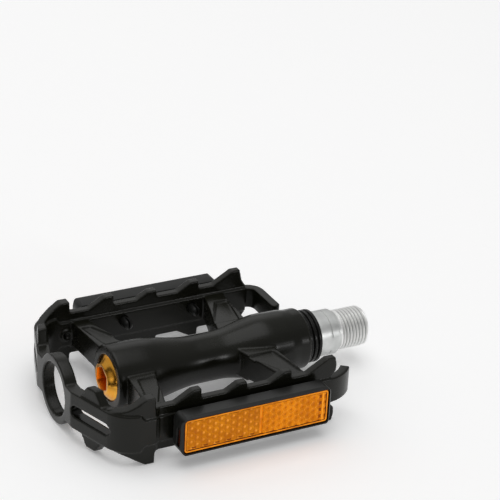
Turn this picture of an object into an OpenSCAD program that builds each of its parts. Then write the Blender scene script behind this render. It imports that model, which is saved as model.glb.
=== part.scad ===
// Bicycle platform pedal with a toothed cage, two clip-on reflectors and an
// adjustable cup-and-cone axle.
//
// +X runs along the axle towards the crank, -Y is one reflector side and +Z is
// the upper face.  The origin lies on the axle at the shoulder that seats on the
// crank.  The upper and lower faces are alike.  The front and back differ only
// in the hooks: the front one is a wide bend, the back one a tight bend with a leg.

/* [Axle] */
// Major diameter of the crank thread (9/16 inch)
thread_d = 14.29; // [12:0.01:16]
// Length of the thread beyond the shoulder
thread_len = 12.4; // [9:0.1:16]
// Diameter of the collar behind the shoulder
collar_d = 16.2; // [15.6:0.1:17]
// Width across the two wrench flats
flat_w = 15; // [14:0.1:15.4]
// Length of the wrench flats along the axle
flat_len = 6.4; // [4:0.1:7]
// Angle of the wrench flats round the axle
flat_turn = 7; // [0:1:90]

/* [Barrel] */
// Length of the barrel
barrel_len = 72.8; // [68:0.1:78]
// Length of axle that shows between the barrel and the shoulder
barrel_gap = 12.9; // [12:0.1:14]
// Diameter of the barrel at its crank end
barrel_d1 = 21.4; // [20.8:0.1:23]
// Diameter of the barrel where the inner arms join it
barrel_root_d = 22.6; // [21.4:0.1:24]
// Diameter of the slimmest part of the barrel
waist_d = 16.8; // [16:0.1:18]
// Diameter of the barrel at its cap end
barrel_d2 = 22.4; // [21:0.1:24]
// Diameter of the hollow between the two bearings
hollow_d = 13.4; // [12.8:0.1:13.8]

/* [Bearings] */
// Diameter of the balls (1/8 inch)
ball_d = 3.175; // [3:0.005:3.2]
// Play between a ball and its groove
ball_play = 0.05; // [0.03:0.01:0.08]
// Pitch diameter of the crank-side balls
pitch1_d = 13.4; // [13.3:0.1:13.6]
// Number of crank-side balls
balls1 = 10; // [8:1:10]
// Pitch diameter of the cap-side balls
pitch2_d = 11.8; // [11.7:0.1:12]
// Number of cap-side balls
balls2 = 8; // [6:1:8]
// Thickness of a cup behind its balls
cup_wall = 0.7; // [0.6:0.05:0.9]
// Length of a cup
cup_len = 6.5; // [6:0.1:7]
// Width across the flats of the lock nut
nut_w = 11; // [10:0.1:12]
// Thickness of the lock nut
nut_h = 3.7; // [3:0.1:4]
// Thickness of the keyed washer
washer_h = 1; // [0.8:0.1:1.2]

/* [Cap and seal] */
// Length of the dust cap
cap_len = 6; // [5:0.1:6.4]
// Thickness of the cap behind the barrel's end face
cap_wall = 4.6; // [3.6:0.1:4.8]
// Width across the flats of the socket in the cap
cap_hex = 8; // [6:0.5:8]
// How far the cap's cone stands out of the barrel
cap_cone = 2; // [1:0.1:2.4]
// Outer diameter of the seal's ribs
seal_d = 18.8; // [18.4:0.1:19.4]
// Length of the seal outside the barrel
seal_len = 5.2; // [4:0.1:5.6]
// Number of ribs round the seal
seal_ribs = 3; // [2:1:4]
// Running clearance between the seal and the collar
seal_play = 0.05; // [0.03:0.01:0.1]

/* [Cage] */
// Width between the outer faces of the toothed plates
cage_w = 72.6; // [68:0.1:78]
// Thickness of the toothed plates
plate_t = 2.9; // [2.4:0.1:3.2]
// How far the thick middle band stands out of a plate on each face
band_out = 0.7; // [0.4:0.1:1]
// Height of the thick middle band
band_h = 9.2; // [8:0.1:10]
// Height between the valleys of the upper and lower teeth
valley_h = 15.8; // [14:0.1:17]
// Height of the thick band round the cage's outer end
loop_band_h = 13.2; // [12:0.1:14]
// Reach of the cage beyond the barrel's cap end
loop_out = 19.3; // [18:0.1:22]
// Outer diameter of the ring in the middle of the loop
ring_d = 24; // [22:0.1:25]
// Diameter of the hole through the ring
ring_hole_d = 18.4; // [16:0.1:19]
// Height of the loop's side slots
slot_h = 4.2; // [3:0.1:5]
// Height of the small teeth on the loop above its thick band
loop_tooth_h = 4.6; // [3:0.1:5]
// Radius of the cage's outer corners
corner_r = 10; // [9:0.1:11]
// How far the corners stand out of the straight plates
corner_out = 0.8; // [0.4:0.1:1]
// Heights of the five teeth, from the corner to the crank end
tooth_h = [4.1, 3.4, 2.4, 2.8, 4.2];
// Distance between teeth
tooth_pitch = 16.55; // [15:0.05:17]
// Distance from the barrel's cap end to the steep side of the first tooth
tooth_start = 0.5; // [0:0.1:2]
// Length of the flat on top of a tooth
tooth_flat = 3.2; // [2:0.1:4]
// Run of a tooth's slope for each millimetre of its height
tooth_slope = 1.75; // [1.2:0.05:2]

// Diameter of the ring bosses inside the outer corners
boss_d = 4.4; // [3:0.1:6]

/* [Arms] */
// Width of the cap-side arms at the barrel
arm2_root = 11.2; // [8:0.1:12]
// Width of the cap-side arms at the cage
arm2_tip = 5.8; // [4.6:0.1:7]
// Width of the crank-side arms at the barrel
arm1_root = 13.2; // [10:0.1:14]
// Width of the crank-side arms at the cage
arm1_tip = 7.2; // [5:0.1:8]
// Height of the arms at the barrel
arm_root_h = 10; // [9:0.1:12]
// Height of the arms at the cage
arm_tip_h = 9; // [8:0.1:9.2]
// Depth of the recess in each arm's upper and lower face
arm_pocket = 0.8; // [0.4:0.1:1.6]

/* [Hooks] */
// Distance from the crank shoulder to the outer face of the hooks
hook_gap = 10.4; // [9:0.1:12]
// Outer radius of the front hook's bend
bend_r = 14; // [12:0.5:16]
// Angle that the front hook turns through
bend_turn = 53; // [45:1:60]
// Length of the back hook's leg beyond its bend
hook_leg = 13.4; // [8:0.1:15]
// Height of the back hook
hook_h = 7.8; // [7:0.1:9.2]
// Outer radius of the back hook's bend
hook_r = 6; // [5:0.1:6.5]

/* [Reflectors] */
// Length of a reflector housing
refl_len = 54.8; // [50:0.1:58]
// Height of a reflector housing
refl_h = 14.4; // [12:0.1:15]
// Radius of the housing's corners
refl_r = 3.2; // [2:0.1:4]
// Depth of a reflector housing
refl_t = 6.3; // [5.6:0.1:7]
// Distance from the shoulder to the crank end of a housing
refl_gap = 24.8; // [23:0.1:27]
// Distance of the housing from the plates
refl_off = 1.7; // [1.2:0.1:2.2]
// Wall of the housing
refl_wall = 0.85; // [0.8:0.05:1.4]
// Thickness of the amber lens
lens_t = 4.4; // [3:0.1:4.8]
// Diameter of a snap pin
pin_d = 3; // [2.6:0.1:3.4]
// Length of a snap pin inside the cage
pin_out = 4.8; // [3:0.1:5.4]
// Height of the snap pins above the middle of the cage
pin_z = 1.3; // [0:0.1:2]
// Distance of the first snap pin from the shoulder
pin_gap = 38.5; // [37:0.1:41]
// Distance between the two snap pins
pin_pitch = 26.4; // [24:0.1:28]

/* [Hidden] */
$fn = 72;
e = 0.01;
far = 200;
black = [0.07, 0.07, 0.08];
steel = [0.78, 0.79, 0.80];
gold = [0.95, 0.55, 0.15];
amber = [0.95, 0.50, 0.08];

// Barrel ends
x1 = -barrel_gap;              // crank end
x2 = x1 - barrel_len;          // cap end
thread_r = thread_d / 2;
collar_r = collar_d / 2;
ball_r = ball_d / 2;
groove_r = ball_r + ball_play;
// Places of the bearings along the axle
b1 = x1 - 5.6;                 // crank-side balls
b2 = x2 + 17.2;                // cap-side balls
p1 = pitch1_d / 2;
p2 = pitch2_d / 2;
cup1_d = 2 * (p1 + groove_r + cup_wall) + 0.125;
cup2_d = 2 * (p2 + groove_r + cup_wall) - 0.275;
cap_d = cup2_d;                // the cap's thread follows the cup's seat
shaft_d1 = pitch1_d - 1.83 * ball_r; // clear of the retainers
shaft_d2 = pitch2_d - 1.83 * ball_r;
tail_d = pitch2_d - 2.4 * ball_r;    // adjusting thread
retainer_l = 1.57 * ball_r;
cone_r = p2 + 0.44 * ball_r;
cup1_in = b1 - 4;              // cup's inner end
cup1_out = cup1_in + cup_len;
cup2_in = b2 + 3.4;
cup2_out = cup2_in - cup_len;
axle_end = x2 + cap_len + 0.5;
nut_x = axle_end + 0.5;        // far face of the lock nut
washer_x = nut_x + nut_h;
cone_x = washer_x + washer_h;
cone_end = b2 + 0.38 * ball_r;
tail_x = b2 + 0.63 * ball_r;   // where the adjusting thread ends

// Cage
w = cage_w / 2;                // outer face of the straight plates
wi = w - plate_t;              // inner face
vz = valley_h / 2;
bz = band_h / 2;
loop_x = x2 - loop_out;        // outermost point of the loop
corner_cx = x2 - 3.8;
corner_cy = w + corner_out - corner_r;
hook_x = -hook_gap;
hook_t = plate_t + band_out / 2;
bend_x = hook_x - bend_r * sin(bend_turn); // where the front hook leaves the plate

function arc(cx, cy, r, a0, a1, n = 10) =
    [for (i = [0:n]) let (a = a0 + (a1 - a0) * i / n) [cx + r * cos(a), cy + r * sin(a)]];
function flip(p) = [for (i = [len(p) - 1:-1:0]) [p[i][0], -p[i][1]]];

// ---------------------------------------------------------------- cage outline
// Both outlines run from the crank end round the loop, on the +Y side only.
node_y = 14.5;                 // where the flat middle of the loop ends
function outer_half(o) = concat(
    [[hook_x - hook_r, w + o], [x2 + 2, w + o], [x2 + 0.6, w + corner_out + o]],
    arc(corner_cx, corner_cy, corner_r + o, 90, 164),
    [[loop_x + band_out - o, node_y], [loop_x + band_out - o, 0]]);
function inner_half(o) = concat(
    [[hook_x - hook_r, wi - o]],
    arc(corner_cx - 0.8, wi - 6.5, 6.5 - o, 90, 166, 8),
    [[loop_x + band_out + plate_t + o, node_y - 1.5], [loop_x + band_out + plate_t + o, 0]]);
module cage_plan(o) {
    difference() {
        polygon(concat(outer_half(o), flip(outer_half(o))));
        polygon(concat(inner_half(o), flip(inner_half(o))));
    }
}

// Steep side of tooth k
function tooth_x(k) = x2 + tooth_start + k * tooth_pitch;
boss_x = x2 - 1;
corner_y = 30;                 // inside this the loop's own edge counts
lz = loop_band_h / 2;
// Upper edge of the plates, seen along Y
plate_edge = concat(
    [[corner_cx - 9.5, lz], [corner_cx - 4.5, lz + 2], [tooth_x(0) - tooth_flat, vz + tooth_h[0]], [tooth_x(0), vz + tooth_h[0]], [tooth_x(0) + 0.2, vz]],
    [for (k = [1:4]) for (p = [
        [tooth_x(k) - tooth_flat - tooth_slope * tooth_h[k], vz],
        [tooth_x(k) - tooth_flat, vz + tooth_h[k]],
        [tooth_x(k), vz + tooth_h[k]],
        [tooth_x(k) + (k < 4 ? 0.2 : 0.9), vz]]) p],
    [[tooth_x(4) + 2.2, vz - 2.2], [tooth_x(4) + 4.5, bz]]);
module plate_side() {
    top = concat([[loop_x - 5, lz]], plate_edge, [[5, bz]]);
    polygon(concat(top, flip(top)));
}
// Upper edge of the loop, seen along X
loop_tooth = [[18, lz - 0.1], [20.6, lz + loop_tooth_h], [24.4, lz + loop_tooth_h], [27.6, lz]];
module loop_side() {
    top = concat([[-corner_y, lz]], [for (i = [3:-1:0]) [-loop_tooth[i][0], loop_tooth[i][1]]], loop_tooth, [[corner_y, lz]]);
    polygon(concat(top, flip(top)));
}

module along_y(a, b) translate([0, b, 0]) rotate([90, 0, 0]) linear_extrude(b - a) children();
module along_x(a, b) translate([a, 0, 0]) rotate([90, 0, 90]) linear_extrude(b - a) children();
// Solid of revolution about the axle; the profile gives [x, radius]
module spin() rotate([0, 90, 0]) rotate_extrude() rotate(-90) mirror([1, 0]) children();
module tube(xa, xb, ra, rb) spin() translate([xa, ra]) square([xb - xa, rb - ra]);
module ring_groove(x, p, r) spin() translate([x, p]) circle(r, $fn = 48);

// What is left off the front plate where its band bends away under the last tooth
module front_relief() {
    k = tooth_x(4);
    along_y(-far, -corner_y) for (s = [0, 1]) mirror([0, s]) polygon([
        [bend_x, -e], [bend_x, bz], [max(bend_x, k - 2.2), bz], [max(bend_x, k + 0.4), vz - 0.9], [max(bend_x, k + 0.7), vz + 1.6],
        [max(bend_x, k + 0.7), far], [5, far], [5, -e]]);
}

module cage_walls() {
    difference() {
        union() {
            // toothed blades
            intersection() {
                linear_extrude(2 * far, center = true) cage_plan(0);
                union() {
                    for (s = [0, 1]) mirror([0, s, 0]) along_y(corner_y, far) plate_side();
                    along_x(-far, corner_cx) loop_side();
                }
            }
            // thick band
            linear_extrude(band_h, center = true) cage_plan(band_out);
        }
        front_relief();
    }
    // the band is taller round the outer end and dips under the corner teeth
    difference() {
        intersection() {
            linear_extrude(loop_band_h, center = true) cage_plan(band_out);
            translate([x2 + 1 - far, -far, -far]) cube([far, 2 * far, 2 * far]);
        }
        for (s = [0, 1]) mirror([0, 0, s]) along_y(-far, far) translate([tooth_x(0) - 1.8, lz + 1]) circle(3.4);
    }
    // ring in the middle
    along_x(loop_x, loop_x + plate_t + 2 * band_out) circle(ring_d / 2);
}

// The band's ends, bent in towards the axle.  The front one is a wide arc.
module front_hook() {
    linear_extrude(band_h, center = true) translate([bend_x, bend_r - w - band_out]) intersection() {
        difference() {
            circle(bend_r);
            circle(bend_r - hook_t);
        }
        polygon([[-e, 0], [-e, -far], [far * sin(bend_turn), -far * cos(bend_turn)]]);
    }
}
// The back one is a tight arc with a leg
module back_hook() {
    leg = hook_leg;
    o = w + band_out;
    t = hook_t;
    nose = t / 2 - 0.3;        // rounding at the leg's end
    linear_extrude(hook_h, center = true) {
        difference() {
            translate([hook_x - hook_r, o - hook_r]) circle(hook_r);
            translate([hook_x - hook_r, o - hook_r]) circle(hook_r - t);
            translate([hook_x - far, o - hook_r - far]) square([2 * far, far]);
            translate([hook_x - hook_r - far, o - far]) square([far, 2 * far]);
        }
        translate([hook_x - t, o - hook_r - leg + nose]) square([t, leg - nose + e]);
        translate([hook_x - t + nose, o - hook_r - leg]) square([t - 2 * nose, leg]);
        for (x = [hook_x - nose, hook_x - t + nose]) translate([x, o - hook_r - leg + nose]) circle(nose);
    }
}

// ---------------------------------------------------------------- barrel and arms
// The slim middle flows into both ends along half a cosine wave
function flow(xa, xb, ra, rb, n = 12) = [for (i = [0:n]) [xa + (xb - xa) * i / n, ra + (rb - ra) * (1 - cos(180 * i / n)) / 2]];
barrel_side = concat(
    [[x2, barrel_d2 / 2 - 0.5], [x2 + 0.5, barrel_d2 / 2]],
    flow(x2 + 10, x2 + 32, barrel_d2 / 2, waist_d / 2),
    flow(x2 + 40, x1 - 14, waist_d / 2, barrel_root_d / 2),
    [[x1 - 7, barrel_root_d / 2 - 0.2], [x1 - 4, barrel_d1 / 2], [x1 - 0.5, barrel_d1 / 2], [x1, barrel_d1 / 2 - 0.5]]);
module barrel() spin() polygon(concat(barrel_side, [[x1, 0], [x2, 0]]));

// An arm from the barrel to the plate on the +Y side; a-b at the root, c-d at the tip
module arm(a, b, c, d) {
    reach = wi - band_out + 1;
    difference() {
        intersection() {
            linear_extrude(far, center = true) polygon([[a, 3], [b, 3], [d, reach], [c, reach]]);
            along_x(-far, far) polygon([[0, arm_root_h / 2], [10, arm_root_h / 2], [reach, arm_tip_h / 2],
                                        [reach, -arm_tip_h / 2], [10, -arm_root_h / 2], [0, -arm_root_h / 2]]);
        }
        for (s = [0, 1]) mirror([0, 0, s])
            intersection() {
                linear_extrude(far) polygon([[a + 2, 12.6], [b - 1, 12.6], [d - 0.8, reach - 6], [c + 1.6, reach - 6]]);
                along_x(-far, far) polygon([[0, arm_root_h / 2 - arm_pocket], [10, arm_root_h / 2 - arm_pocket],
                                            [reach, arm_tip_h / 2 - arm_pocket], [reach, far], [0, far]]);
            }
    }
}

module bores() {
    // cap seat, cap-side cup, hollow, crank-side cup and seal seat
    tube(x2 - 1, x2 + cap_len + 0.4, 0, cap_d / 2);
    tube(x2, cup2_in, 0, cup2_d / 2);
    tube(x2, x1, 0, hollow_d / 2);
    tube(cup1_in, x1 + 1, 0, cup1_d / 2);
}

module slot(l, h) {
    square([l - h, h], center = true);
    for (s = [-1, 1]) translate([s * (l - h) / 2, 0]) circle(h / 2);
}

module cage_frame() color(black) difference() {
    union() {
        cage_walls();
        barrel();
        back_hook();
        front_hook();
        for (s = [0, 1]) mirror([0, s, 0]) {
            // ring boss inside each outer corner
            along_y(wi - band_out - 0.8, w) translate([boss_x, 0]) difference() {
                circle(boss_d / 2);
                circle(boss_d / 4);
            }
            arm(x2 + 3.4, x2 + 3.4 + arm2_root, x2 + 0.9, x2 + 0.9 + arm2_tip);
            arm(x1 - 15.8 - arm1_root, x1 - 15.8, x1 - 13.1 - arm1_tip, x1 - 13.1);
        }
    }
    bores();
    // holes for the reflector pins
    for (x = [-pin_gap, -pin_gap - pin_pitch], s = [-1, 1]) along_y(s * w - 6, s * w + 6) translate([x, pin_z]) circle(pin_d / 2);
    // hole through the ring
    along_x(loop_x - 1, x2 - 8) circle(ring_hole_d / 2);
    // side slots of the loop
    for (s = [0, 1]) mirror([0, s, 0]) translate([loop_x + 3.1, 23.2, 0]) rotate([0, 0, -19.8]) along_x(-5, 5) slot(18.6, slot_h);
}

// ---------------------------------------------------------------- axle
module axle() color(steel) difference() {
    spin() polygon([
        [axle_end, 0], [axle_end, tail_d / 2 - 0.6], [axle_end + 0.6, tail_d / 2], [tail_x, tail_d / 2], [tail_x, shaft_d2 / 2],
        [b1 - 1.26 * ball_r, shaft_d1 / 2], [b1, shaft_d1 / 2], [b1 + ball_r, p1 + 0.44 * ball_r], [b1 + 2 * ball_r, p1 + 0.44 * ball_r], [b1 + 2.14 * ball_r, collar_r], [-3.7, collar_r],
        [-3.5, collar_r - 0.25], [-3.2, collar_r - 0.25], [-3, collar_r], [-0.4, collar_r], [0, collar_r - 0.4],
        [0, thread_r],
        [thread_len - 0.8, thread_r], [thread_len, thread_r - 0.8], [thread_len, 0]]);
    ring_groove(b1, p1, groove_r);
    // wrench flats
    for (s = [0, 180]) rotate([flat_turn + s, 0, 0]) translate([-flat_len, flat_w / 2, -far / 2]) cube([flat_len + e, far, far]);
    // keyway of the washer
    translate([axle_end - 1, 0.388 * tail_d, -0.1 * tail_d]) cube([cone_x - axle_end + 1, tail_d / 4, 0.2 * tail_d]);
}

// ---------------------------------------------------------------- bearings
module crank_side_cup() color(steel) difference() {
    spin() polygon([[cup1_in, p1 - 0.13 * ball_r], [cup1_in, cup1_d / 2], [cup1_out, cup1_d / 2], [cup1_out, p1 + groove_r], [b1, p1 + groove_r], [b1, p1 - 0.13 * ball_r]]);
    ring_groove(b1, p1, groove_r);
}
module cap_side_cup() color(steel) difference() {
    spin() polygon([[cup2_in, p2 - 0.13 * ball_r], [cup2_in, cup2_d / 2], [cup2_out, cup2_d / 2], [cup2_out, p2 + groove_r], [b2, p2 + groove_r], [b2, p2 - 0.13 * ball_r]]);
    ring_groove(b2, p2, groove_r);
}
module ball_ring(x, p, n, r = ball_r) for (i = [0:n - 1]) rotate([i * 360 / n, 0, 0]) translate([x, p, 0]) sphere(r, $fn = 48);
module crank_side_balls() color(steel) ball_ring(b1, p1, balls1);
module cap_side_balls() color(steel) ball_ring(b2, p2, balls2);
module crank_side_retainer() color(steel) difference() {
    tube(b1 - retainer_l, b1 - 0.2 * ball_r, p1 - 0.72 * ball_r, p1 - 0.32 * ball_r);
    ball_ring(b1, p1, balls1, groove_r);
}
module cap_side_retainer() color(steel) difference() {
    tube(b2 + 0.2 * ball_r, b2 + retainer_l, p2 - 0.72 * ball_r, p2 - 0.32 * ball_r);
    ball_ring(b2, p2, balls2, groove_r);
}
module adjusting_cone() color(steel) difference() {
    spin() polygon([[cone_x, tail_d / 2], [cone_x, cone_r], [b2 - 1.07 * ball_r, cone_r], [b2 + 0.13 * ball_r, p2 - 0.82 * ball_r],
                    [cone_end, p2 - 0.82 * ball_r], [cone_end, tail_d / 2]]);
    ring_groove(b2, p2, groove_r);
}
module keyed_washer() color(steel) {
    tube(washer_x, cone_x, tail_d / 2, 0.94 * cone_r);
    translate([washer_x, 0.4 * tail_d, -0.087 * tail_d]) cube([washer_h, 0.17 * tail_d, 0.174 * tail_d]);
}
module lock_nut() color(steel) difference() {
    intersection() {
        rotate([0, 90, 0]) translate([0, 0, nut_x]) cylinder(nut_h, r = nut_w / 2 / cos(30), $fn = 6);
        spin() polygon([[nut_x, 0], [nut_x, nut_w / 2], [nut_x + 0.7, nut_w / 2 / cos(30)], [washer_x, nut_w / 2 / cos(30)], [washer_x, 0]]);
    }
    tube(nut_x - 1, washer_x + 1, 0, tail_d / 2);
}

// ---------------------------------------------------------------- cap and seal
module dust_cap() color(gold) difference() {
    spin() polygon([[x2 - cap_cone, 0], [x2 - cap_cone, cap_hex / 2 + 1.2], [x2 - cap_cone + 0.3, cap_hex / 2 + 1.5],
                    [x2, cap_d / 2 - 0.4], [x2 + 0.4, cap_d / 2], [x2 + cap_len, cap_d / 2],
                    [x2 + cap_len, cap_d / 2 - 1.4], [x2 + cap_wall, cap_d / 2 - 1.4], [x2 + cap_wall, 0]]);
    // socket, with a countersunk mouth
    rotate([0, 90, 0]) translate([0, 0, x2 - cap_cone - 1]) cylinder(cap_cone + cap_wall - 0.2, r = cap_hex / 2 / cos(30), $fn = 6);
}
module seal_ring() color(black) {
    rib = seal_len / seal_ribs;
    inner = collar_r + seal_play;
    spin() polygon(concat(
        [[x1 - 2.6, inner], [x1 - 2.6, cup1_d / 2], [x1, cup1_d / 2]],
        [for (i = [0:seal_ribs - 1]) for (p = [[x1 + i * rib, seal_d / 2 - 0.7], [x1 + i * rib + 0.3, seal_d / 2],
                                               [x1 + (i + 1) * rib - 0.5, seal_d / 2], [x1 + (i + 1) * rib - 0.2, seal_d / 2 - 0.7]]) p],
        [[x1 + seal_len, seal_d / 2 - 0.7], [x1 + seal_len, inner]]));
}

// ---------------------------------------------------------------- reflectors
// On the +Y side; mirrored for the other one
refl_y = w + band_out + refl_off;
refl_x = -refl_gap - refl_len;
bevel = 0.9;
draft = 0.5;                   // how much lower the housing is at its back
// Rectangle with round corners, from x = a to x = b
module round_box(a, b, h, r) {
    translate([a + r, -h / 2]) square([b - a - 2 * r, h]);
    translate([a, r - h / 2]) square([b - a, h - 2 * r]);
    for (x = [a + r, b - r], z = [-1, 1]) translate([x, z * (h / 2 - r)]) circle(r);
}
// Box with round corners, its outer edges bevelled
module bevelled_box() intersection() {
    along_y(refl_y, refl_y + refl_t) round_box(refl_x, -refl_gap, refl_h, refl_r);
    along_x(refl_x, -refl_gap) polygon([[refl_y, draft - refl_h / 2], [refl_y + refl_t - bevel, -refl_h / 2], [refl_y + refl_t, -refl_h / 2 + bevel / 2],
                                        [refl_y + refl_t, refl_h / 2 - bevel / 2], [refl_y + refl_t - bevel, refl_h / 2], [refl_y, refl_h / 2 - draft]]);
    linear_extrude(far, center = true) polygon([[refl_x, refl_y], [refl_x, refl_y + refl_t - bevel], [refl_x + bevel, refl_y + refl_t],
        [-refl_gap - bevel, refl_y + refl_t], [-refl_gap, refl_y + refl_t - bevel], [-refl_gap, refl_y]]);
}
module lens_box(ya, yb) along_y(ya, yb)
    round_box(refl_x + refl_wall, -refl_gap - refl_wall, refl_h - 2 * refl_wall, refl_r - refl_wall);
module housing() {
    difference() {
        bevelled_box();
        lens_box(refl_y + refl_t - lens_t, refl_y + refl_t + 1);
        // window in the cap end, where the lens shows
        translate([refl_x - 1, refl_y + refl_t - lens_t + 0.6, -4.2]) cube([refl_wall + 2, 2.4, 6.6]);
    }
    for (x = [-pin_gap, -pin_gap - pin_pitch]) {
        // stand-off, then the pin with its split snap head
        along_y(w + band_out, refl_y + 0.5) translate([x, pin_z]) circle(pin_d / 2 + 1);
        along_y(wi - band_out - 0.5, w + band_out + 0.5) translate([x, pin_z]) circle(pin_d / 2);
        difference() {
            translate([x, wi - band_out, pin_z]) rotate([90, 0, 0]) rotate_extrude() polygon([
                [0, -0.5], [pin_d / 2, -0.5], [pin_d / 2, 0.2], [pin_d / 2 + 0.2, 0.8], [pin_d / 2 + 0.2, pin_out - 1.2],
                [pin_d / 2, pin_out - 0.4], [pin_d / 2 - 0.6, pin_out], [0, pin_out]]);
            translate([x - 0.35, wi - band_out - pin_out - 1, pin_z - pin_d]) cube([0.7, pin_out, 2 * pin_d]);
        }
    }
}
module lens() lens_box(refl_y + refl_t - lens_t, refl_y + refl_t - 0.3);
module front_reflector_housing() color(black) mirror([0, 1, 0]) housing();
module front_reflector_lens() color(amber) mirror([0, 1, 0]) lens();
module back_reflector_housing() color(black) housing();
module back_reflector_lens() color(amber) lens();

cage_frame();
axle();
crank_side_cup();
crank_side_balls();
crank_side_retainer();
cap_side_cup();
cap_side_balls();
cap_side_retainer();
adjusting_cone();
keyed_washer();
lock_nut();
dust_cap();
seal_ring();
front_reflector_housing();
front_reflector_lens();
back_reflector_housing();
back_reflector_lens();
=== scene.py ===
# %% [markdown]
# # A platform pedal
# The pedal is one black casting round a steel axle, closed by a gold cap, with
# an amber reflector clipped to each side. The exact solids come ready in
# model.glb, so this lesson loads them and then gives each piece the surface of a
# real one: cast corners, a cut thread, prisms in the reflectors, paint, steel and rubber.
# The axle lies along x: its shoulder against the crank is at x = 0, and the cap
# is at the low end. The y axis points to the back of the pedal, and z up.

# %% Load the imported model
import math

import bmesh
import bpy
from mathutils import Matrix, Vector


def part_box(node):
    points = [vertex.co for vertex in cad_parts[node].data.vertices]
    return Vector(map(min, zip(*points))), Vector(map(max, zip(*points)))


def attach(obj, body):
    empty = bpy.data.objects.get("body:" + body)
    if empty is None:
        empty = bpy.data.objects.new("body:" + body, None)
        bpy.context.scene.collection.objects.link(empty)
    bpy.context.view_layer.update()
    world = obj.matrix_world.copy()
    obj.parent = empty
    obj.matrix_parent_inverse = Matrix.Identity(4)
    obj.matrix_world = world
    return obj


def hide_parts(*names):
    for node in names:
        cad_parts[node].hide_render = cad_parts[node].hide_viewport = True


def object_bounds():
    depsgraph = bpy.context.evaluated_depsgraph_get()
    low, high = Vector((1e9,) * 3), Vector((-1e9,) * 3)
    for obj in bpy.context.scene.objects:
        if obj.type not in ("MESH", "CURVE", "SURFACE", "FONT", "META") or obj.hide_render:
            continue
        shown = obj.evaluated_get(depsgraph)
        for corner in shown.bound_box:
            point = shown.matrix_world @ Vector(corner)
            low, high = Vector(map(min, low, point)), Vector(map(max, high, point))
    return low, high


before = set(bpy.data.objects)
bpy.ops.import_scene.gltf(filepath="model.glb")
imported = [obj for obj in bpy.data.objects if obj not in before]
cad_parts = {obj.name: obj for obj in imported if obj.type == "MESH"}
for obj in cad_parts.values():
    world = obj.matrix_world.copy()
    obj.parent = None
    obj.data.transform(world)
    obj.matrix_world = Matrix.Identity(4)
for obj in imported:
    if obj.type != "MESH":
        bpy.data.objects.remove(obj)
cad_box = [list(corner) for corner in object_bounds()]
MM = 0.001
print("the solids fill", cad_box)

# %% [markdown]
# ## Where the camera stands
# The photograph was taken from the cap end, in front and above, with a long
# lens. A camera could be aimed at the pedal by a constraint. Here it is set
# outright by its place and by three directions: what is right, what is up, and
# what is behind it in the picture. That gives the photograph's tilt as well.

# %% Camera
FILM_WIDTH, FOCAL_LENGTH, FARTHEST = 36, 140.39, 20
CAMERA_PLACE = Vector((-0.31868, -0.51788, 0.32639))
PICTURE_RIGHT = Vector((0.88612, -0.46103, 0.04744))
PICTURE_UP = Vector((0.16478, 0.40907, 0.89750))


def add_camera():
    lens = bpy.data.cameras.new("camera")
    lens.sensor_width, lens.lens, lens.clip_end = FILM_WIDTH, FOCAL_LENGTH, FARTHEST
    camera = bpy.data.objects.new("camera", lens)
    behind = PICTURE_RIGHT.cross(PICTURE_UP)
    turn = Matrix((PICTURE_RIGHT, PICTURE_UP, behind)).transposed()
    camera.matrix_world = Matrix.Translation(CAMERA_PLACE) @ turn.to_4x4()
    bpy.context.collection.objects.link(camera)
    bpy.context.scene.camera = camera
    return camera


camera = add_camera()
print("the camera stands at", [round(v, 3) for v in camera.location])

# %% [markdown]
# ## Shader maths
# A finish is worked out from values that change over the surface. Its nodes
# could be made and linked one at a time, but nobody reads a sum from that. With
# a small class round a socket, sums are plain expressions and each operator
# adds its Math node. Colours are blended by a Mix node, because a Math node
# would turn them grey.

# %% Sockets that do sums
class Value:
    def __init__(self, tree, socket=None):
        self.tree, self.socket = tree, socket

    def node(self, kind, inputs=(), out=0, **settings):
        made = self.tree.nodes.new(kind)
        for name, setting in settings.items():
            setattr(made, name, setting)
        for name, value in dict(inputs).items():
            if isinstance(value, Value):
                self.tree.links.new(value.socket, made.inputs[name])
            else:
                made.inputs[name].default_value = value
        return Value(self.tree, made.outputs[out])

    def sum(self, operation, *terms):
        return self.node("ShaderNodeMath", dict(enumerate(terms)), operation=operation)

    def __add__(self, other): return self.sum("ADD", self, other)
    def __radd__(self, other): return self.sum("ADD", other, self)
    def __sub__(self, other): return self.sum("SUBTRACT", self, other)
    def __rsub__(self, other): return self.sum("SUBTRACT", other, self)
    def __mul__(self, other): return self.sum("MULTIPLY", self, other)
    def __rmul__(self, other): return self.sum("MULTIPLY", other, self)
    def __truediv__(self, other): return self.sum("DIVIDE", self, other)
    def __rtruediv__(self, other): return self.sum("DIVIDE", other, self)
    def __pow__(self, other): return self.sum("POWER", self, other)
    def __rpow__(self, other): return self.sum("POWER", other, self)

    def fraction(self): return self.sum("FRACT", self)
    def size(self): return self.sum("ABSOLUTE", self)
    def least(self, other): return self.sum("MINIMUM", self, other)
    def most(self, other): return self.sum("MAXIMUM", self, other)
    def distance(self, other): return (self * self + other * other) ** 0.5

    def split(self):
        return [self.node("ShaderNodeSeparateXYZ", {0: self}, out=axis) for axis in range(3)]

    def between(self, low, high, to_low=0.0, to_high=1.0):
        return self.node("ShaderNodeMapRange",
                         {0: self, 1: low, 2: high, 3: to_low, 4: to_high})

    def mix(self, colour_a, colour_b):
        return self.node("ShaderNodeMix", {0: self, 6: colour_a, 7: colour_b}, out=2,
                         data_type="RGBA")

    def tones(self, dark, light, spread=0.2):
        return self.between(0.5 - spread, 0.5 + spread).mix(dark, light)


def rgb(r, g, b):
    return (r, g, b, 1)


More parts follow.
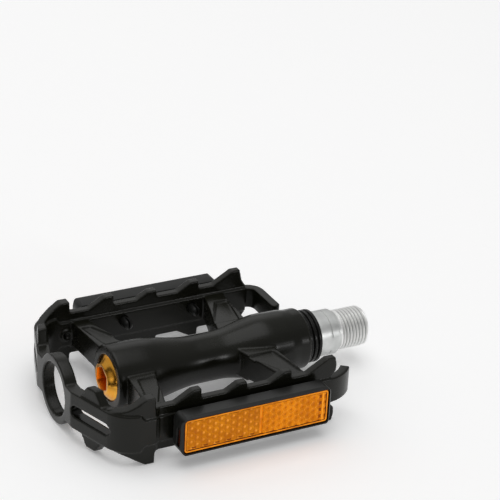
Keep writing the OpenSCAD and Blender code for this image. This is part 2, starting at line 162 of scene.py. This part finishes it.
# %% [markdown]
# ## A finish
# Paint, metal and plastic are all one Principled shader, so one class serves
# every piece. The fixed numbers go straight on the shader's sockets, and what
# changes over the surface is linked in: colour, roughness and a bump. Noise is
# laid out in the object's own metres, so a scale of 1000 makes blobs of about
# 1 mm, and no texture has to be unwrapped. Noise hovers round 0.5, so tones()
# spreads the middle of its range over two colours.

# %% New material
class Finish:
    def __init__(self, name, **fixed):
        self.material = bpy.data.materials.new(name)
        self.material.use_nodes = True
        self.tree = self.material.node_tree
        self.shader = self.tree.nodes["Principled BSDF"]
        for socket, value in fixed.items():
            self.shader.inputs[socket.replace("_", " ")].default_value = value
        self.start = Value(self.tree)
        self.place = self.start.node("ShaderNodeTexCoord", out="Object")

    def noise(self, scale, detail, stretch=None):
        place = self.place
        if stretch:
            place = self.start.node("ShaderNodeMapping", {0: place, "Scale": stretch})
        return self.start.node("ShaderNodeTexNoise",
                               {"Vector": place, "Scale": scale, "Detail": detail})

    def link(self, socket, value):
        self.tree.links.new(value.socket, self.shader.inputs[socket])

    def bump(self, height, distance, strength):
        inputs = {"Height": height, "Distance": distance, "Strength": strength}
        self.link("Normal", self.start.node("ShaderNodeBump", inputs))

    def done(self):
        print(self.material.name, "has", len(self.tree.nodes), "nodes")
        return self.material


# %% [markdown]
# ## Black paint on cast alloy
# The cage is die-cast, then painted satin black, and the paint follows the
# slightly uneven skin of the casting. One flat black would look like a cut-out.
# Two noises break it up: a broad one for patches that are a little duller, and
# a fine one for the pimples of orange peel. Both also drive the bump, so that
# highlights waver as they do on paint.

# %% Black paint
def black_paint():
    paint = Finish("black_paint", Specular_IOR_Level=0.25)
    patches, peel = paint.noise(60, 3), paint.noise(1400, 2)
    tone = patches.tones(rgb(0.0052, 0.0053, 0.0030), rgb(0.0088, 0.0089, 0.0056))
    paint.link("Base Color", tone)
    paint.link("Roughness", 0.20 + patches * 0.08 + peel * 0.04)
    paint.bump(peel * 0.6 + patches * 2.0, 0.05 * MM, 0.4)
    return paint.done()


black_alloy = black_paint()

# %% [markdown]
# ## Plated steel
# The axle is turned and then plated, so its skin is pale and satin, with faint
# rings round it: a noise that is squeezed along the axle gives those. The cut
# thread is paler still, and the bottoms of its grooves get painted shade, a dull
# grey. Two materials could share the axle, but then the seam between them would
# be hard. Here a point's x tells whether it lies on the thread, and its distance
# from the axle's middle line tells whether it lies down in a groove. Inside the
# rim of the end face there is no groove, so the face gets no shade and stays pale.

# %% Plated steel
THREAD_EDGE = (0.8 * MM, 1.2 * MM)
GROOVE_BOTTOM, GROOVE_TOP = 6.45 * MM, 6.9 * MM
END_FACE_RIM = (6.1 * MM, 6.3 * MM)


def satin_steel():
    steel = Finish("satin_steel", Metallic=1.0)
    rings, blotch = steel.noise(900, 2, stretch=(6, 0.4, 0.4)), steel.noise(220, 3)
    x, y, z = steel.place.split()
    thread, reach = x.between(*THREAD_EDGE), y.distance(z)
    # painted shade: dull grey down in the thread's grooves, none inside the end face's rim
    groove_shade = reach.between(GROOVE_BOTTOM, GROOVE_TOP, 0.8, 0) * reach.between(*END_FACE_RIM)
    tone = blotch.tones(rgb(0.56, 0.57, 0.56), rgb(0.72, 0.73, 0.72))
    tone = thread.mix(tone, rgb(0.93, 0.93, 0.92))
    steel.link("Base Color", (groove_shade * thread).mix(tone, rgb(0.26, 0.26, 0.255)))
    steel.link("Roughness", 0.35 + rings * 0.12 + thread * 0.08)
    steel.bump(rings * 0.5 + blotch, 0.03 * MM, 0.4)
    return steel.done()


steel_skin = satin_steel()

# %% [markdown]
# ## Ground steel
# The cups, balls, cone, washer and nut sit inside the barrel. They are ground
# steel with a film of oil, which shows as patches that differ in gloss. A bump
# would be wasted there, so colour and roughness do it.

# %% Ground steel
def ground_steel():
    steel = Finish("ground_steel", Metallic=1.0)
    oil = steel.noise(400, 3)
    steel.link("Base Color", oil.tones(rgb(0.40, 0.39, 0.37), rgb(0.56, 0.56, 0.56)))
    steel.link("Roughness", 0.18 + oil * 0.16)
    return steel.done()


bearing_skin = ground_steel()

# %% [markdown]
# ## Gold anodised alloy
# The cap is turned alloy, anodised gold. A metal's colour is the colour of its
# reflections, so a full Metallic with an orange base gives it, and squeezed
# noise the rings of the lathe. In the key socket light bounces from wall to
# wall and comes out deeper, so the tone is half way to brown inside its radius.

# %% Gold
SOCKET_REACH = (4.7 * MM, 4.8 * MM)


def gold_anodised():
    gold = Finish("gold_anodised", Metallic=1.0)
    rings = gold.noise(700, 2, stretch=(5, 0.3, 0.3))
    _, y, z = gold.place.split()
    socket = y.distance(z).between(*SOCKET_REACH, 0.5, 0)
    tone = rings.tones(rgb(1.0, 0.41, 0.035), rgb(1.0, 0.51, 0.075))
    gold.link("Base Color", socket.mix(tone, rgb(0.40, 0.15, 0.04)))
    gold.link("Roughness", 0.16 + rings * 0.06)
    return gold.done()


gold_skin = gold_anodised()

# %% [markdown]
# ## Rubber and moulded plastic
# The seal is smooth black rubber. The reflector housings are black plastic with
# a very fine spark-eroded grain, a little greyer and duller than the paint. Both
# are nearly black, so what tells them apart is their gloss and grain, and each
# gets its own noise for that.

# %% Black rubber and black plastic
def black_rubber():
    rubber = Finish("black_rubber", Specular_IOR_Level=0.24)
    grain = rubber.noise(900, 2)
    tone = grain.tones(rgb(0.0035, 0.0036, 0.0030), rgb(0.0065, 0.0066, 0.0055))
    rubber.link("Base Color", tone)
    rubber.link("Roughness", 0.22 + grain * 0.12)
    rubber.bump(grain, 0.03 * MM, 0.4)
    return rubber.done()


def black_plastic():
    plastic = Finish("black_plastic", Specular_IOR_Level=0.32)
    grain, cloud = plastic.noise(2200, 2), plastic.noise(90, 2)
    tone = cloud.tones(rgb(0.0062, 0.0066, 0.0058), rgb(0.0105, 0.0110, 0.0098))
    plastic.link("Base Color", tone)
    plastic.link("Roughness", 0.34 + cloud * 0.08 + grain * 0.08)
    plastic.bump(grain, 0.05 * MM, 0.5)
    return plastic.done()


rubber_skin, plastic_skin = black_rubber(), black_plastic()

# %% [markdown]
# ## The honeycomb in the reflector
# A reflector is an amber plate with a field of corner prisms, 2.5 mm apart in a
# honeycomb. Shape and colour both need to know where the cells are. A Voronoi
# texture could draw a honeycomb too, but its cells couldn't be matched to the
# modelled prisms. So the honeycomb is two square grids of cells, one shifted by
# half a cell each way, and each gives the distance to its nearest cell's middle,
# in heights of a cell. The helper near() is 1 at a place and fades to 0 over the
# last third of its reach.

# %% Places in the honeycomb
CELL_X, CELL_Z = 4.25 * MM, 2.5 * MM
FIRST_CELL_X, FIRST_CELL_Z = -73.7 * MM, 1.4 * MM
DIVIDER = -50.9 * MM


def cell_offset(value, start, size, shift):
    place = (value - start) / size + shift
    return (place.fraction() - 0.5) * (size / CELL_Z)


def cell_reach(x, z, shift):
    along = cell_offset(x, FIRST_CELL_X, CELL_X, shift)
    return along.distance(cell_offset(z, FIRST_CELL_Z, CELL_Z, shift))


def near(value, place, reach):
    return (value - place).size().between(reach * 0.7, reach, 1, 0)


print("the two halves of the reflectors meet at x =", round(DIVIDER, 4))

# %% [markdown]
# ## Light from the prisms
# Clear amber would need many bounces of light to show what prisms do, and the
# picture would stay noisy. So that light is worked into the colour. In the half
# towards the cap each cell shows a bright dot. In the other half the prisms are
# turned, so it is darker in the middle of a cell and brighter between cells.
# Facets that face up or to one side are deeper, by the normal of the surface.

# %% Tone of a prism
def prism_tone(x, z, cloud, grit, crank_half):
    middle = cell_reach(x, z, 0.5).least(cell_reach(x, z, 0.0))
    dot = middle.between(0.10, 0.24, 1, 0)
    seam = middle.between(0.42, 0.56) * grit.between(0.4, 0.6)
    cap_tone = cloud.tones(rgb(0.50, 0.150, 0.004), rgb(0.66, 0.225, 0.006), 0.15)
    cap_tone = (dot * cloud.between(0.3, 0.6, 0.35, 1.0)).mix(cap_tone, rgb(1.0, 0.42, 0.05))
    crank_tone = cloud.tones(rgb(0.62, 0.180, 0.003), rgb(0.85, 0.265, 0.006), 0.15)
    crank_tone = (dot * 0.75).mix(crank_tone, rgb(0.50, 0.120, 0.001))
    crank_tone = seam.mix(crank_tone, rgb(1.0, 0.40, 0.03))
    return crank_half.mix(cap_tone, crank_tone)


def facet_shade(amber, crank_half):
    across, _, up = amber.start.node("ShaderNodeTexCoord", out="Normal").split()
    away = (across * 0.8 + up * 0.6).between(-0.25, 0.25, 0.0, 0.55)
    return away * crank_half.between(0, 1, 1, 0.6)


# %% [markdown]
# ## Marks of the mould
# Along the foot of the cap half runs a row of dark dashes. Near the crank end
# stands a column of dark knots, and beside it a bright line, which is a painted
# highlight. They are too thin to model, so each is where two distances are both
# small, and the larger of the two masks counts.

# %% Dashes and knots
DASH_START, DASH_STEP, DASH_Z, DASH_HALF = -74.9 * MM, 4.2 * MM, -4.5 * MM, 0.34 * MM
KNOT_X, KNOT_HALF = -28.9 * MM, 0.6 * MM
GLINT_LINE_X, GLINT_LINE_HALF = KNOT_X + 1.0 * MM, 0.3 * MM


def mould_marks(x, z, crank_half):
    dashes = near(cell_offset(x, DASH_START, DASH_STEP, 0.5), 0, 0.36)
    dashes = dashes * near(z, DASH_Z, DASH_HALF) * (1 - crank_half)
    knots = near(cell_offset(z, FIRST_CELL_Z, CELL_Z, 0.5), 0, 0.3)
    return dashes.most(near(x, KNOT_X, KNOT_HALF) * knots) * 0.8


print("the dashes stand", round(DASH_STEP / MM, 2), "mm apart")

# %% [markdown]
# ## The amber itself
# A reflector throws light back, so it looks brighter than a painted amber of
# the same colour. A weak glow in the same tone stands for that. The plain rim
# round the prisms is smooth and glows a little less. The sides of the plate are
# seen through its whole thickness, and its bevel and the step into the tray lie
# in shade, so all of these get painted shade: a deep brown that doesn't glow.

# %% Amber prisms, rim and sides
def amber_prisms():
    amber = Finish("amber_prisms", Specular_IOR_Level=0.06, Emission_Strength=0.38)
    x, _, z = amber.place.split()
    cloud, grit = amber.noise(240, 3), amber.noise(1500, 2)
    crank_half = x.between(DIVIDER - 0.1 * MM, DIVIDER + 0.1 * MM)
    tone = prism_tone(x, z, cloud, grit, crank_half)
    tone = facet_shade(amber, crank_half).mix(tone, rgb(0.36, 0.085, 0.001))
    tone = (grit.between(0.52, 0.75) * 0.4).mix(tone, rgb(0.40, 0.10, 0.001))
    tone = mould_marks(x, z, crank_half).mix(tone, rgb(0.16, 0.022, 0.001))
    # painted highlight: a thin bright line beside the knots
    tone = near(x, GLINT_LINE_X, GLINT_LINE_HALF).mix(tone, rgb(1.0, 0.36, 0.02))
    amber.link("Base Color", tone)
    amber.link("Emission Color", tone)
    amber.link("Roughness", 0.16 + grit * 0.16)
    amber.bump(grit, 0.04 * MM, 0.4)
    return amber.done()


def amber_rim():
    rim = Finish("amber_rim", Specular_IOR_Level=0.15, Emission_Strength=0.3)
    cloud = rim.noise(300, 3)
    tone = cloud.tones(rgb(0.66, 0.19, 0.004), rgb(1.0, 0.33, 0.010), 0.15)
    rim.link("Base Color", tone)
    rim.link("Emission Color", tone)
    rim.link("Roughness", 0.12 + cloud * 0.14)
    return rim.done()


def amber_shaded_sides():
    sides = Finish("amber_shaded_side", Specular_IOR_Level=0.2)
    cloud = sides.noise(300, 3)
    # painted shade: the sides, bevel and tray step are deep brown and don't glow
    tone = cloud.tones(rgb(0.06, 0.007, 0.001), rgb(0.13, 0.018, 0.001), 0.15)
    sides.link("Base Color", tone)
    sides.link("Roughness", 0.14 + cloud * 0.14)
    return sides.done()


amber_skins = (amber_prisms(), amber_rim(), amber_shaded_sides())
# a new face has material 0, which is the prisms
# the sides, bevel, tray step and back take painted shade
RIM, SHADED = 1, 2

# %% [markdown]
# ## What every new piece needs
# A new shape starts as a copy of its solid, with the points of touching faces
# welded, or from nothing. At the end it gets its materials and smooth shading,
# which stays sharp where faces meet at more than the given angle. Then it is
# hung on the body it moves with, and the solid it stands for is hidden.

# %% Make, change and dress a piece
WELD = 0.002 * MM


def piece_from(built, name):
    mesh = bpy.data.meshes.new(name)
    built.to_mesh(mesh)
    built.free()
    piece = bpy.data.objects.new(name, mesh)
    bpy.context.collection.objects.link(piece)
    return piece


def copy_of(node, name):
    built = bmesh.new()
    built.from_mesh(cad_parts[node].data)
    bmesh.ops.remove_doubles(built, verts=built.verts, dist=WELD)
    return piece_from(built, name)


def use_modifiers(piece):
    graph = bpy.context.evaluated_depsgraph_get()
    mesh = bpy.data.meshes.new_from_object(piece.evaluated_get(graph))
    piece.modifiers.clear()
    piece.data = mesh


def dress(piece, node, body, materials, sharp_angle=None):
    last = len(materials) - 1
    parts = [min(face.material_index, last) for face in piece.data.polygons]
    piece.data.materials.clear()
    for material in materials:
        piece.data.materials.append(material)
    piece.data.polygons.foreach_set("material_index", parts)
    piece.data.shade_smooth()
    if sharp_angle:
        piece.data.set_sharp_from_angle(angle=math.radians(sharp_angle))
    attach(piece, body)
    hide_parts(node)
    print(piece.name, len(piece.data.polygons), "faces")
    return piece


# %% [markdown]
# ## From a solid to a casting
# A solid has knife edges, and a casting has none: metal rounds every corner as
# it fills the mould. A bevel fails where so many slanting faces meet. A voxel
# remesh instead turns the faces into an even skin, and a few rounds of smoothing
# roll the edges over. Long flat faces need few points, so a decimate takes most
# of them away again. The last step keeps the skin inside the solid's own box.

# %% The cast cage
def cast(node, name, body, material, voxel, rounds, keep):
    piece = copy_of(node, name)
    remesh = piece.modifiers.new("skin", "REMESH")
    remesh.mode, remesh.voxel_size = "VOXEL", voxel
    soften = piece.modifiers.new("soften", "SMOOTH")
    soften.factor, soften.iterations = 0.5, rounds
    thin = piece.modifiers.new("thin", "DECIMATE")
    thin.ratio = keep
    use_modifiers(piece)
    low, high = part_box(node)
    for vert in piece.data.vertices:
        vert.co = [min(max(vert.co[i], low[i]), high[i]) for i in range(3)]
    return dress(piece, node, body, (material,))


cast("cage_frame", "cage_casting", "platform", black_alloy,
     voxel=0.34 * MM, rounds=3, keep=0.3)

# %% [markdown]
# ## Moulded housings, cap and seal
# The housings are small and straight, so a bevel rounds their edges better than
# voxels do: the faces stay flat and the corners get a small radius. The gold cap
# and the rubber seal get the same treatment with a finer bevel. The window of a
# real housing has tighter corners than the solid's, so the points round each
# corner move out to the smaller radius.

# %% Housings, cap and seal
WINDOW_CORNER, LENS_CORNER = 2.35 * MM, 1.5 * MM
# the radii between which a corner's points lie, with those of its bevel
CORNER_BAND = (WINDOW_CORNER - 0.3 * MM, WINDOW_CORNER + 0.45 * MM)


def rounded(node, name, radius, material):
    piece = copy_of(node, name)
    bevel = piece.modifiers.new("edges", "BEVEL")
    bevel.width, bevel.segments = radius, 3
    bevel.limit_method, bevel.angle_limit = "ANGLE", math.radians(30)
    use_modifiers(piece)
    return dress(piece, node, "platform", (material,), sharp_angle=35)


def tighten_corner(vert, middle_x, middle_z, side_x, side_z):
    dx, dz = (vert.co.x - middle_x) * side_x, (vert.co.z - middle_z) * side_z
    reach = math.hypot(dx, dz)
    if min(dx, dz) > -1e-6 and CORNER_BAND[0] < reach < CORNER_BAND[1]:
        vert.co.x += (WINDOW_CORNER - LENS_CORNER) * (1 - dx / reach) * side_x
        vert.co.z += (WINDOW_CORNER - LENS_CORNER) * (1 - dz / reach) * side_z


def square_window(shell, low, high):
    for vert in shell.data.vertices:
        for edge_x, side_x in ((low.x, -1), (high.x, 1)):
            for edge_z, side_z in ((low.z, -1), (high.z, 1)):
                tighten_corner(vert, edge_x - side_x * WINDOW_CORNER,
                               edge_z - side_z * WINDOW_CORNER, side_x, side_z)


for side in ("front", "back"):
    shell = rounded(f"{side}_reflector_housing", f"{side}_housing_shell", 0.22 * MM,
                    plastic_skin)
    square_window(shell, *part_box(f"{side}_reflector_lens"))
rounded("dust_cap", "gold_cap", 0.16 * MM, gold_skin)
rounded("seal_ring", "ribbed_seal", 0.12 * MM, rubber_skin)

# %% [markdown]
# ## The lens plate
# The plate is a stack of rounded rectangles, each a little smaller than the one
# before: up the side, over a small bevel, across the plain band and down into a
# shallow tray. A cube with bevels could give the outside but not the tray.
# Joining each ring to the next gives the frame, and one face closes the back
# and one the tray.

# %% Plate with a tray
CORNER_STEPS, LEAST_CORNER = 6, 0.1 * MM
# how far in from the edge and how deep below the face each ring lies, in mm
TRAY_RINGS = ((0, 0.6), (0.4, 0.16), (0.5, 0.1), (1.0, 0.1), (1.12, 0.2), (1.2, 0.5))
BAND_RING = 3


def rounded_loop(box, inset):
    x0, x1, z0, z1 = box[0] + inset, box[1] - inset, box[2] + inset, box[3] - inset
    r = max(LENS_CORNER - inset, LEAST_CORNER)
    corners = ((x1 - r, z1 - r, 0), (x0 + r, z1 - r, 90),
               (x0 + r, z0 + r, 180), (x1 - r, z0 + r, 270))
    return [(cx + r * math.cos(turn), cz + r * math.sin(turn))
            for cx, cz, start in corners
            for turn in (math.radians(start + 90 * i / CORNER_STEPS)
                         for i in range(CORNER_STEPS + 1))]


def join_rings(built, rings):
    bands = []
    for ring, after in zip(rings, rings[1:]):
        corners = zip(ring, ring[1:] + ring[:1], after[1:] + after[:1], after)
        bands.append([built.faces.new(four) for four in corners])
    return bands, built.faces.new(rings[0][::-1]), built.faces.new(rings[-1])


def tray(built, box, face, out, thick):
    stack = [(0, thick)] + [(inset * MM, depth * MM) for inset, depth in TRAY_RINGS]
    rings = [[built.verts.new((x, face - out * depth, z)) for x, z in rounded_loop(box, inset)]
             for inset, depth in stack]
    bands, back, floor = join_rings(built, rings)
    for count, band in enumerate(bands):
        for quad in band:
            # every band but the plain one, and the back, take the painted shade
            quad.material_index = RIM if count == BAND_RING else SHADED
    back.material_index, floor.material_index = SHADED, RIM


print("the tray is", TRAY_RINGS[-1][1], "mm deep")

# %% [markdown]
# ## One prism
# A corner prism is the corner of a cube, seen down its diagonal: three rhombs
# that meet in the deepest point. Its outline is a hexagon, so the prisms join
# without gaps. A displacement map would blunt them, so each is built from its
# seven points. The corners of the hexagon lie high and half high in turn, and
# starting one corner later turns the prism.

# %% Corner prism
PRISM_FLOOR, PRISM_TOP = 0.42 * MM, 0.04 * MM
CORNER_DEPTHS = ((PRISM_FLOOR + PRISM_TOP) / 2, PRISM_TOP)


def add_prism(sheet, cx, cz, face, out, turned):
    ring = []
    for corner in range(6):
        turn = math.radians(60 * corner)
        depth = CORNER_DEPTHS[(corner + turned) % 2]
        place = (cx + CELL_X / 3 * math.cos(turn), face - out * depth,
                 cz + CELL_Z / math.sqrt(3) * math.sin(turn))
        ring.append(sheet.verts.new(place))
    middle = sheet.verts.new((cx, face - out * PRISM_FLOOR, cz))
    for first in range(turned, 6 + turned, 2):
        sheet.faces.new((middle, *(ring[(first + step) % 6] for step in range(3))))


print("a prism is", round((PRISM_FLOOR - PRISM_TOP) / MM, 2), "mm deep")

# %% [markdown]
# ## A sheet of prisms
# Every cell near a half's window gets its prism. Four cuts then trim the sheet
# to the window, which is easier than working out each cut prism. The rim of the
# sheet goes straight down into the tray, and one more face closes it below.

# %% Sheet of prisms
COLUMNS, ROWS = range(-8, 24), range(-6, 6)
PRISM_WELD, RIM_DEPTH = 0.02 * MM, 0.7 * MM


def fill_with_prisms(sheet, window, face, out, turned):
    x0, x1, z0, z1 = window
    for shift in (0.0, 0.5):
        for cx in (FIRST_CELL_X + (i + shift) * CELL_X for i in COLUMNS):
            for cz in (FIRST_CELL_Z + (k + shift) * CELL_Z for k in ROWS):
                if x0 - CELL_X < cx < x1 + CELL_X and z0 - CELL_Z < cz < z1 + CELL_Z:
                    add_prism(sheet, cx, cz, face, out, turned)
    bmesh.ops.remove_doubles(sheet, verts=sheet.verts, dist=PRISM_WELD)


def trim_to_window(sheet, window):
    x0, x1, z0, z1 = window
    for point, outward in (((x0, 0, 0), (-1, 0, 0)), ((x1, 0, 0), (1, 0, 0)),
                           ((0, 0, z0), (0, 0, -1)), ((0, 0, z1), (0, 0, 1))):
        everything = sheet.verts[:] + sheet.edges[:] + sheet.faces[:]
        bmesh.ops.bisect_plane(sheet, geom=everything, plane_co=point, plane_no=outward,
                               clear_outer=True)


def close_below(sheet, level):
    rim = [edge for edge in sheet.edges if edge.is_boundary]
    for moved in bmesh.ops.extrude_edge_only(sheet, edges=rim)["geom"]:
        if isinstance(moved, bmesh.types.BMVert):
            moved.co.y = level
    bmesh.ops.holes_fill(sheet, edges=[edge for edge in sheet.edges if edge.is_boundary])


def prism_sheet(built, window, face, out, turned):
    sheet = bmesh.new()
    fill_with_prisms(sheet, window, face, out, turned)
    trim_to_window(sheet, window)
    close_below(sheet, face - out * RIM_DEPTH)
    print("a sheet of", len(sheet.faces), "faces")
    mesh = bpy.data.meshes.new("prisms")
    sheet.to_mesh(mesh)
    sheet.free()
    built.from_mesh(mesh)
    bpy.data.meshes.remove(mesh)


# %% [markdown]
# ## Both lens plates
# The front plate faces down y and the back one up y. Each has two sheets of
# prisms with a plain bar between them, and the sheet towards the crank has its
# prisms turned. The plates take the place and outer size of their solids.

# %% Lens plates
LENS_MARGIN, BAR_HALF = 1.25 * MM, 0.5 * MM


def lens_plate(side):
    node = f"{side}_reflector_lens"
    low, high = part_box(node)
    face, out = (low.y, -1) if side == "front" else (high.y, 1)
    built = bmesh.new()
    tray(built, (low.x, high.x, low.z, high.z), face, out, high.y - low.y)
    z0, z1 = low.z + LENS_MARGIN, high.z - LENS_MARGIN
    prism_sheet(built, (low.x + LENS_MARGIN, DIVIDER - BAR_HALF, z0, z1), face, out, 0)
    prism_sheet(built, (DIVIDER + BAR_HALF, high.x - LENS_MARGIN, z0, z1), face, out, 1)
    bmesh.ops.recalc_face_normals(built, faces=built.faces)
    piece = piece_from(built, f"{side}_lens_plate")
    return dress(piece, node, "platform", amber_skins, sharp_angle=12)


for side in ("front", "back"):
    lens_plate(side)

# %% [markdown]
# ## Turning on the lathe
# The axle is turned, so it is a profile spun round a line. Blender's Screw
# modifier spins a profile too, but every ring would then be a true circle. Here
# the radius may change with the turn, which cuts the thread, and each point may
# be moved after that, which mills the flats.

# %% Spun shapes
def spun(name, profile, sides, radius_at, milled):
    built = bmesh.new()
    turns = [2 * math.pi * i / sides for i in range(sides)]
    rings = []
    for x, r in profile:
        reaches = [(radius_at(x, turn, r), turn) for turn in turns]
        points = [Vector((x, here * math.cos(turn), here * math.sin(turn)))
                  for here, turn in reaches]
        rings.append([built.verts.new(milled(point) * MM) for point in points])
    join_rings(built, rings)
    bmesh.ops.recalc_face_normals(built, faces=built.faces)
    return piece_from(built, name)


# %% [markdown]
# ## Thread and flats
# These sizes are in millimetres, as on a drawing. The thread's radius falls and
# rises once for each turn along the axle. It starts just past the shoulder and
# deepens over its first turn, as the die leaves it. The two spanner flats are
# milled: every point of the collar beyond them moves back on to them.

# %% Thread and flats
THREAD_R, THREAD_LEN, COLLAR_R, PITCH = 7.145, 12.4, 8.1, 1.27
THREAD_START, RUN_IN, THREAD_DEPTH = 1.0, 1.2, 0.68
ROOT_SHARE, FLANK_SHARE = 0.06, 0.80
FLAT_W, FLAT_LEN, FLAT_TURN = 15.0, 6.4, math.radians(7)
SHOULDER = 0.01


def thread_radius(x, turn, r):
    if x < THREAD_START:
        return r
    phase = (x / PITCH - turn / (2 * math.pi)) % 1.0
    wave = 1 - abs(2 * phase - 1)
    depth = THREAD_DEPTH * min(1.0, (x - THREAD_START) / RUN_IN)
    return r - depth * (1 - min(1.0, max(0.0, (wave - ROOT_SHARE) / FLANK_SHARE)))


def mill_flats(point):
    if point.x < -FLAT_LEN or point.x > SHOULDER:
        return point
    out = Vector((0, math.cos(FLAT_TURN), math.sin(FLAT_TURN)))
    reach = point.dot(out)
    if abs(reach) > FLAT_W / 2:
        point = point - out * (reach - math.copysign(FLAT_W / 2, reach))
    return point


print("the thread has", round(THREAD_LEN / PITCH, 1), "turns")

# %% [markdown]
# ## The axle's profile
# A turner works from the tail to the thread, and so does this list of places
# along the axle and radii: the thin tail under the cap, the shaft that swells
# towards the crank, the groove for the balls as an arc, the collar with a fine
# groove and a chamfer, the thread, and the end face with its turning centre.

# %% Profile
BARREL_END, CAP_END = -12.9, -85.7
CRANK_BALLS, CAP_BALLS, TAIL = BARREL_END - 5.6, CAP_END + 17.2, CAP_END + 6.5
TRACK_R, TRACK_MIDDLE = 1.65, 6.7
CREST_STEP, CREST_START = 0.085, 0.3


def shaft_line():
    swell = [(TAIL, 3.4), (TAIL + 0.6, 4.0), (CAP_BALLS + 1, 4.0), (CAP_BALLS + 1, 4.45),
             (CRANK_BALLS - 2, 5.25)]
    turns = [math.radians(degrees) for degrees in range(-30, 61, 15)]
    track = [(CRANK_BALLS + TRACK_R * math.sin(turn), TRACK_MIDDLE - TRACK_R * math.cos(turn))
             for turn in turns]
    return swell + track


def collar_line():
    rise = [(CRANK_BALLS + 1.8, 7.4), (CRANK_BALLS + 3.2, 7.4),
            (CRANK_BALLS + 3.4, COLLAR_R - 0.1), (CRANK_BALLS + 3.6, COLLAR_R)]
    dips = ((-6.42, 0), (-6.4, 0), (-3.62, 0), (-3.5, 0.08), (-3.42, 0.25), (-3.22, 0.25),
            (-3.12, 0.08), (-3.0, 0), (-0.45, 0), (-0.25, 0.08), (-0.08, 0.24), (0, 0.42))
    return rise + [(x, COLLAR_R - dip) for x, dip in dips]


def thread_line():
    steps = int((THREAD_LEN - CREST_START) / CREST_STEP)
    crests = [CREST_START + CREST_STEP * i for i in range(steps)]
    chamfer = [(x, THREAD_R - max(0.0, x - THREAD_LEN + 1) * 0.9) for x in crests]
    end = [(THREAD_LEN, THREAD_R - 0.95), (THREAD_LEN, 5.4), (THREAD_LEN - 0.1, 5.3),
           (THREAD_LEN - 0.1, 1.3), (THREAD_LEN - 0.9, 0.5)]
    return [(0, THREAD_R + 0.05), (0.1, THREAD_R - 0.02)] + chamfer + end


profile = shaft_line() + collar_line() + thread_line()
axle = spun("crank_axle", profile, sides=120, radius_at=thread_radius, milled=mill_flats)
dress(axle, "axle", "axle_set", (steel_skin,), sharp_angle=14)

# %% [markdown]
# ## Finishes on the solids that stay
# The pieces inside the barrel already have the right shape, so their solids
# stay. A new material in their slots is all they need.

# %% Finish the bearings
BEARING_NODES = ("crank_side_cup", "cap_side_cup", "crank_side_balls", "cap_side_balls",
                 "crank_side_retainer", "cap_side_retainer", "adjusting_cone",
                 "keyed_washer", "lock_nut")
for node in BEARING_NODES:
    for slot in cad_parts[node].material_slots:
        slot.material = bearing_skin
print("ground steel on", len(BEARING_NODES), "solids")

# %% [markdown]
# ## The paper it lies on
# The pedal lies on white paper that runs out of view. Strong lamps could bleach
# grey paper, but they would bleach the pedal too. So the paper is pale and gets
# a faint glow that only the camera, gloss and glass see. It adds no light to a
# matt surface, and the soft shadow stays. A hair's gap keeps the paper clear of
# the pedal's lowest faces.

# %% Floor
PAPER_SIZE, PAPER_GAP, PAPER_TONE, PAPER_GLOW = 6, 0.05 * MM, 0.94, 0.21


def white_paper():
    paper = Finish("white_paper", Roughness=1.0, Specular_IOR_Level=0.0,
                   Base_Color=rgb(PAPER_TONE, PAPER_TONE, PAPER_TONE))
    start, plain = paper.start, Value(paper.tree, paper.shader.outputs[0])
    seen = start.node("ShaderNodeLightPath", out="Is Camera Ray")
    for ray in ("Is Glossy Ray", "Is Transmission Ray"):
        seen = seen.most(start.node("ShaderNodeLightPath", out=ray))
    glow = start.node("ShaderNodeEmission", {"Color": rgb(1, 1, 1), "Strength": PAPER_GLOW})
    glowing = start.node("ShaderNodeAddShader", {0: plain, 1: glow})
    mixed = start.node("ShaderNodeMixShader", {0: seen, 1: plain, 2: glowing})
    paper.tree.links.new(mixed.socket, paper.tree.nodes["Material Output"].inputs["Surface"])
    return paper.done()


def white_floor(height):
    bpy.ops.mesh.primitive_plane_add(size=PAPER_SIZE, location=(0, 0, height))
    floor = bpy.context.object
    floor.name = "paper"
    floor.data.materials.append(white_paper())


white_floor(cad_box[0][2] - PAPER_GAP)

# %% [markdown]
# ## Lamps
# A studio lights small glossy things with large soft boxes, whose reflections
# are broad and calm. Two area lamps stand for them, one above and one behind.
# A small one in front, towards the crank, adds the glints on the axle.

# %% Lamps
PEDAL_MIDDLE = Vector((-0.045, 0, 0))


def softbox(name, place, width, height, watts):
    lamp = bpy.data.lights.new(name, "AREA")
    lamp.shape, lamp.size, lamp.size_y, lamp.energy = "RECTANGLE", width, height, watts
    light = bpy.data.objects.new(name, lamp)
    light.location = place
    aim = PEDAL_MIDDLE - Vector(place)
    light.rotation_euler = aim.to_track_quat("-Z", "Y").to_euler()
    bpy.context.collection.objects.link(light)
    print(name, "gives", watts, "W")


softbox("back_softbox", (-0.1, 1.3, 1.0), 2.0, 0.9, 3)
softbox("top_softbox", (-0.1, 0.0, 1.5), 1.6, 1.2, 9.5)
softbox("front_lamp", (0.5, -1.2, 0.3), 0.13, 0.13, 1.6)

# %% [markdown]
# ## The room
# The rest of the light comes from the room's pale walls. One even grey would
# flatten the black paint, so the room is brighter up and to the back, and
# fades to the front and down.

# %% World
ROOM_DARK, ROOM_BRIGHT, FADE = 0.26, 0.40, 0.45


def studio_room():
    world = bpy.data.worlds.new("studio")
    bpy.context.scene.world = world
    world.use_nodes = True
    background = world.node_tree.nodes["Background"]
    background.inputs["Color"].default_value = rgb(1, 1, 1)
    towards = Value(world.node_tree).node("ShaderNodeTexCoord", out="Generated")
    _, back, up = towards.split()
    room = (up + back * 0.9).between(-FADE, FADE, ROOM_DARK, ROOM_BRIGHT)
    world.node_tree.links.new(room.socket, background.inputs["Strength"])


studio_room()
bpy.context.scene.view_settings.view_transform = "Standard"
print("the room's light runs from", ROOM_DARK, "to", ROOM_BRIGHT)
